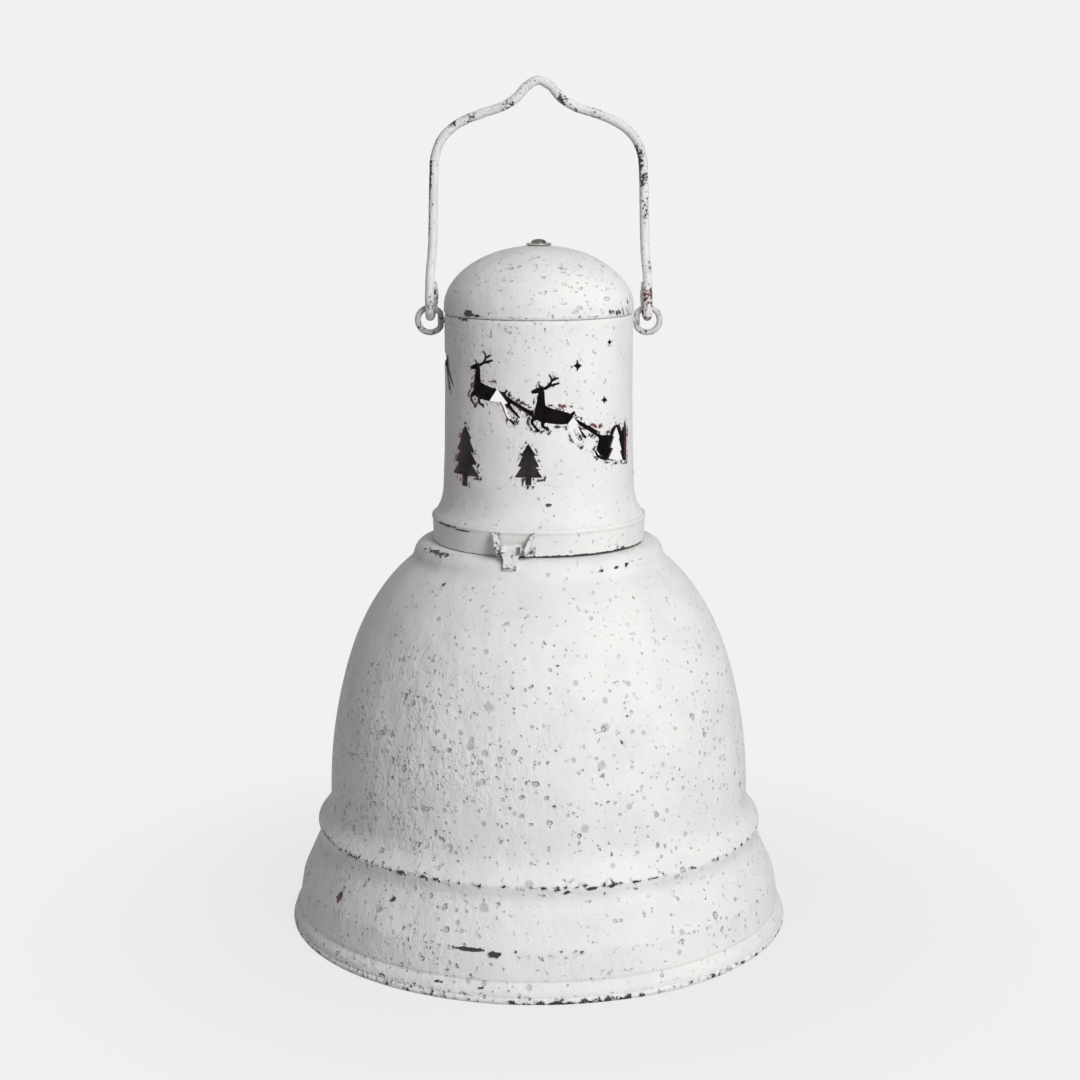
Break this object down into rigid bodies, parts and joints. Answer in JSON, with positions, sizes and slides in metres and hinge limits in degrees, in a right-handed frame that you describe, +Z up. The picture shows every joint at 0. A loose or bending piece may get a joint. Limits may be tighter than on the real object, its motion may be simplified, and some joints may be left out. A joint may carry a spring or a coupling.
{
  "type": "led lantern",
  "caption": "Battery lantern with a spun bell shade on a rolled rim, a pierced drum head that tips forward on a hinge, a dome cap, ring eyes and a swinging wire bail.",
  "frame": {"origin": "centre of the rim's underside, where the lantern stands", "axes": "+Z up along the turned axis; -Y towards the front with the hinge; +X to the right seen from the front"},
  "size_m": [0.2, 0.2, 0.3335],
  "materials": {
    "white_paint": "matt white paint, chipped and cratered",
    "worn_paint": "white paint worn to grey and red-brown primer",
    "dark_steel": "dark oxidised",
    "steel": "plain",
    "black_plastic": "matt moulded",
    "frosted_plastic": "frosted, translucent",
    "board_green": "coated laminate"
  },
  "bodies": {
    "bell": {"bell_shade": "white_paint", "neck_collar": "worn_paint", "lamp_tray": "worn_paint", "tray_rivet_1": "steel", "tray_rivet_2": "steel", "tray_rivet_3": "steel", "hinge_leaf": "white_paint", "hinge_pin": "worn_paint", "lamp_housing": "black_plastic", "lamp_cover": "black_plastic", "lamp_lens": "frosted_plastic", "lamp_diode": "frosted_plastic", "circuit_board": "board_green", "battery_contact": "steel", "battery_1": "steel", "battery_2": "steel"},
    "head": {"head_tube": "white_paint", "head_band": "white_paint", "dome_cap": "white_paint", "cap_strap": "worn_paint", "top_washer": "dark_steel", "top_screw": "dark_steel", "top_nut": "steel", "hinge_ear_left": "white_paint", "hinge_ear_right": "white_paint", "catch_spring": "steel", "catch_rivet": "worn_paint", "eye_right": "worn_paint", "eye_nut_right": "steel", "eye_left": "worn_paint", "eye_nut_left": "steel"},
    "bail": {"bail": "worn_paint"},
    "door": {"battery_door": "black_plastic"},
    "switch": {"switch_slider": "black_plastic"}
  },
  "joints": [
    {"name": "head_tip", "type": "hinge", "parent": "bell", "child": "head", "pos_m": [-0.00881, -0.04535, 0.1582], "axis": [0.9816, -0.1908, 0], "range_deg": [0, 100]},
    {"name": "bail_swing", "type": "hinge", "parent": "head", "child": "bail", "pos_m": [0, 0, 0.2456], "axis": [1, 0, 0], "range_deg": [-135, 135]},
    {"name": "door_twist", "type": "hinge", "parent": "bell", "child": "door", "pos_m": [0, 0, 0.1395], "axis": [0, 0, 1], "range_deg": [0, 25]},
    {"name": "switch_slide", "type": "slide", "parent": "bell", "child": "switch", "axis": [0, 1, 0], "range_m": [0, 0.004]}
  ]
}
